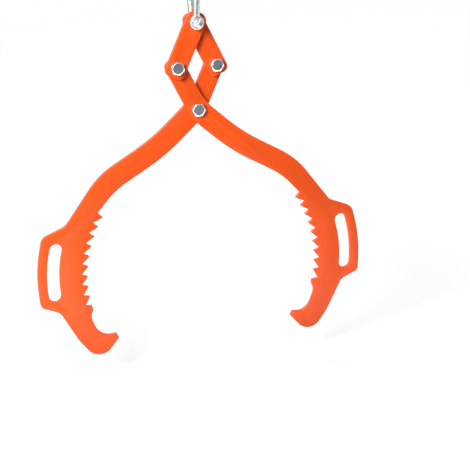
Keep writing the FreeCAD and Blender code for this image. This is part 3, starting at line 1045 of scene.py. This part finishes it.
def floor_material(settings):
    """White to the camera but for the object's soft shadow, and a bright band to reflections."""
    near, far = 0.6, 3.5                # squared distances from the origin, in square metres
    near_white, far_white = 0.62, 0.91  # what the lamps leave to add, which is more far off
    band_front = (-0.85, -0.50)         # where the band begins and is full
    band_back = (-0.24, -0.06)          # where it fades and is gone
    grey = (0.45, 0.45, 0.45)
    material, tree, shader = new_material("White floor")
    shader.inputs["Base Color"].default_value = opaque(grey)
    shader.inputs["Roughness"].default_value = 0.9
    shader.inputs["Specular IOR Level"].default_value = 0.0
    coords = add(tree, "ShaderNodeTexCoord")
    place = add(tree, "ShaderNodeSeparateXYZ")
    tree.links.new(coords.outputs["Object"], place.inputs[0])
    across, along = place.outputs["X"], place.outputs["Y"]
    spread_out = math_node(tree, "ADD", math_node(tree, "MULTIPLY", across, across),
                           math_node(tree, "MULTIPLY", along, along))
    white = spread(tree, ramp(tree, spread_out, near, far), near_white, far_white)
    path = add(tree, "ShaderNodeLightPath")
    shown = math_node(tree, "MULTIPLY", seen_ray(tree, path), white)
    band = math_node(tree, "SUBTRACT", ramp(tree, along, *band_front),
                     ramp(tree, along, *band_back))
    pool = spread(tree, band, settings.floor_level, settings.band_level)
    mirrored = math_node(tree, "MULTIPLY", path.outputs["Is Glossy Ray"], pool)
    glow = add(tree, "ShaderNodeEmission")
    tree.links.new(math_node(tree, "ADD", shown, mirrored), glow.inputs["Strength"])
    both = add(tree, "ShaderNodeAddShader")
    tree.links.new(shader.outputs[0], both.inputs[0])
    tree.links.new(glow.outputs[0], both.inputs[1])
    tree.links.new(both.outputs[0], tree.nodes["Material Output"].inputs["Surface"])
    return material


class TONGS_OT_stage(bpy.types.Operator):
    """Set the white floor, the camera, the lamps and the room"""
    bl_idname = "tongs.stage"
    bl_label = "Stage"

    MIDDLE = Vector((0, 0, -0.36))              # of the object, where the lamps aim
    KEY_WAY = Vector((0.63, 0.63, -0.45))       # the way that the key light shines
    KEY_DISTANCE = 2.6
    RIM_PLACE = Vector((-0.45, 1.6, 1.15))
    SIDE_PLACE = Vector((2.3, 0.7, 0.5))
    FRONT_WAY = (-0.05, -0.953, -0.30)          # to the middle of the room's dark front
    BACK_WAY = (0.0, 0.99, -0.10)               # to the middle of its dim back

    def execute(self, context):
        settings = context.scene.tongs_stage
        self.floor(settings)
        self.camera(context, settings)
        middle = self.MIDDLE
        key_place = middle - self.KEY_WAY * self.KEY_DISTANCE
        area_lamp("Key light", key_place, middle,
                  width=1.0, height=1.0, energy=settings.key_energy)
        area_lamp("Rim light", self.RIM_PLACE, middle,
                  width=1.3, height=0.9, energy=settings.rim_energy)
        area_lamp("Side light", self.SIDE_PLACE, middle,
                  width=1.0, height=1.0, energy=settings.side_energy)
        self.surround(context, settings)
        context.scene.view_settings.view_transform = "Standard"
        return {"FINISHED"}

    def surround(self, context, settings):
        """A bright room, dark behind the camera and dim at the back, white to the camera."""
        world = bpy.data.worlds.new("Studio")
        world.use_nodes = True
        tree = world.node_tree
        coords = add(tree, "ShaderNodeTexCoord")
        dark = facing(tree, coords, self.FRONT_WAY, full_angle=17, none_angle=43)
        room = spread(tree, dark, settings.surround_level, settings.front_level)
        dim = facing(tree, coords, self.BACK_WAY, full_angle=20, none_angle=55)
        room = math_node(tree, "MULTIPLY", room, spread(tree, dim, 1.0, settings.back_level))
        path = add(tree, "ShaderNodeLightPath")
        level = math_node(tree, "MULTIPLY", path.outputs["Is Glossy Ray"],
                          math_node(tree, "SUBTRACT", room, settings.fill_level))
        level = math_node(tree, "ADD", level, settings.fill_level)
        level = math_node(tree, "MAXIMUM", level, seen_ray(tree, path))
        background = tree.nodes["Background"]
        background.inputs["Color"].default_value = opaque((1.0, 1.0, 1.0))
        tree.links.new(level, background.inputs["Strength"])
        context.scene.world = world

    def floor(self, settings):
        """A flat floor that runs on behind the object."""
        width, front, back = 5.0, -1.0, 8.0
        floor_z = CAD_BOUNDS[0][2] - settings.floor_drop
        mesh = bpy.data.meshes.new("floor")
        corners = [(-width, front), (width, front), (width, back), (-width, back)]
        mesh.from_pydata([(x, y, floor_z) for x, y in corners], [], [(0, 1, 2, 3)])
        mesh.materials.append(floor_material(settings))
        floor = bpy.data.objects.new("floor", mesh)
        bpy.context.scene.collection.objects.link(floor)

    def camera(self, context, settings):
        """The photograph's camera, for a square frame."""
        frame_pixels = 470.0
        azimuth, elevation, roll = settings.azimuth, settings.elevation, settings.roll
        back = Vector((
            math.sin(azimuth) * math.cos(elevation),
            -math.cos(azimuth) * math.cos(elevation),
            math.sin(elevation),
        ))
        level = Vector((math.cos(azimuth), math.sin(azimuth), 0))
        upright = back.cross(level)
        right = level * math.cos(roll) + upright * math.sin(roll)
        up = upright * math.cos(roll) - level * math.sin(roll)
        data = bpy.data.cameras.new("Camera")
        data.sensor_width = 36.0
        data.lens = data.sensor_width * settings.focal_pixels / frame_pixels
        data.clip_start = 0.01
        camera = bpy.data.objects.new("Camera", data)
        context.scene.collection.objects.link(camera)
        place = Vector(settings.aim) + back * settings.distance
        turn = Matrix((right, up, back)).transposed().to_4x4()
        camera.matrix_world = Matrix.Translation(place) @ turn
        context.scene.camera = camera


class TONGS_PT_panel(bpy.types.Panel):
    """The tongs' pieces and their settings"""
    bl_idname = "TONGS_PT_panel"
    bl_label = "Log lifting tongs"
    bl_space_type = "VIEW_3D"
    bl_region_type = "UI"
    bl_category = "Tongs"

    def draw(self, context):
        for settings in SETTINGS:
            group = getattr(context.scene, settings)
            box = self.layout.box()
            for name in group.__annotations__:
                box.prop(group, name)
        for operator in OPERATORS:
            self.layout.operator(operator.bl_idname)


SETTINGS = {
    "tongs_paint": PaintSettings,
    "tongs_fasteners": FastenerSettings,
    "tongs_shackle": ShackleSettings,
    "tongs_stage": StageSettings,
}
OPERATORS = (
    TONGS_OT_stage,
    TONGS_OT_shackle_bow,
    TONGS_OT_screw_pin,
    TONGS_OT_links,
    TONGS_OT_jaws,
    TONGS_OT_washers,
    TONGS_OT_bolts,
    TONGS_OT_nuts,
)


def register():
    for settings in SETTINGS.values():
        bpy.utils.register_class(settings)
    for operator in OPERATORS:
        bpy.utils.register_class(operator)
    bpy.utils.register_class(TONGS_PT_panel)
    for name, settings in SETTINGS.items():
        setattr(bpy.types.Scene, name, PointerProperty(type=settings))


def unregister():
    for name in SETTINGS:
        delattr(bpy.types.Scene, name)
    bpy.utils.unregister_class(TONGS_PT_panel)
    for operator in reversed(OPERATORS):
        bpy.utils.unregister_class(operator)
    for settings in reversed(SETTINGS.values()):
        bpy.utils.unregister_class(settings)


def main():
    """Builds the stage and every piece."""
    register()
    bpy.ops.tongs.stage()
    bpy.ops.tongs.shackle_bow()
    bpy.ops.tongs.screw_pin()
    bpy.ops.tongs.links()
    bpy.ops.tongs.jaws()
    bpy.ops.tongs.washers()
    bpy.ops.tongs.bolts()
    bpy.ops.tongs.nuts()


if __name__ == "__main__":
    main()
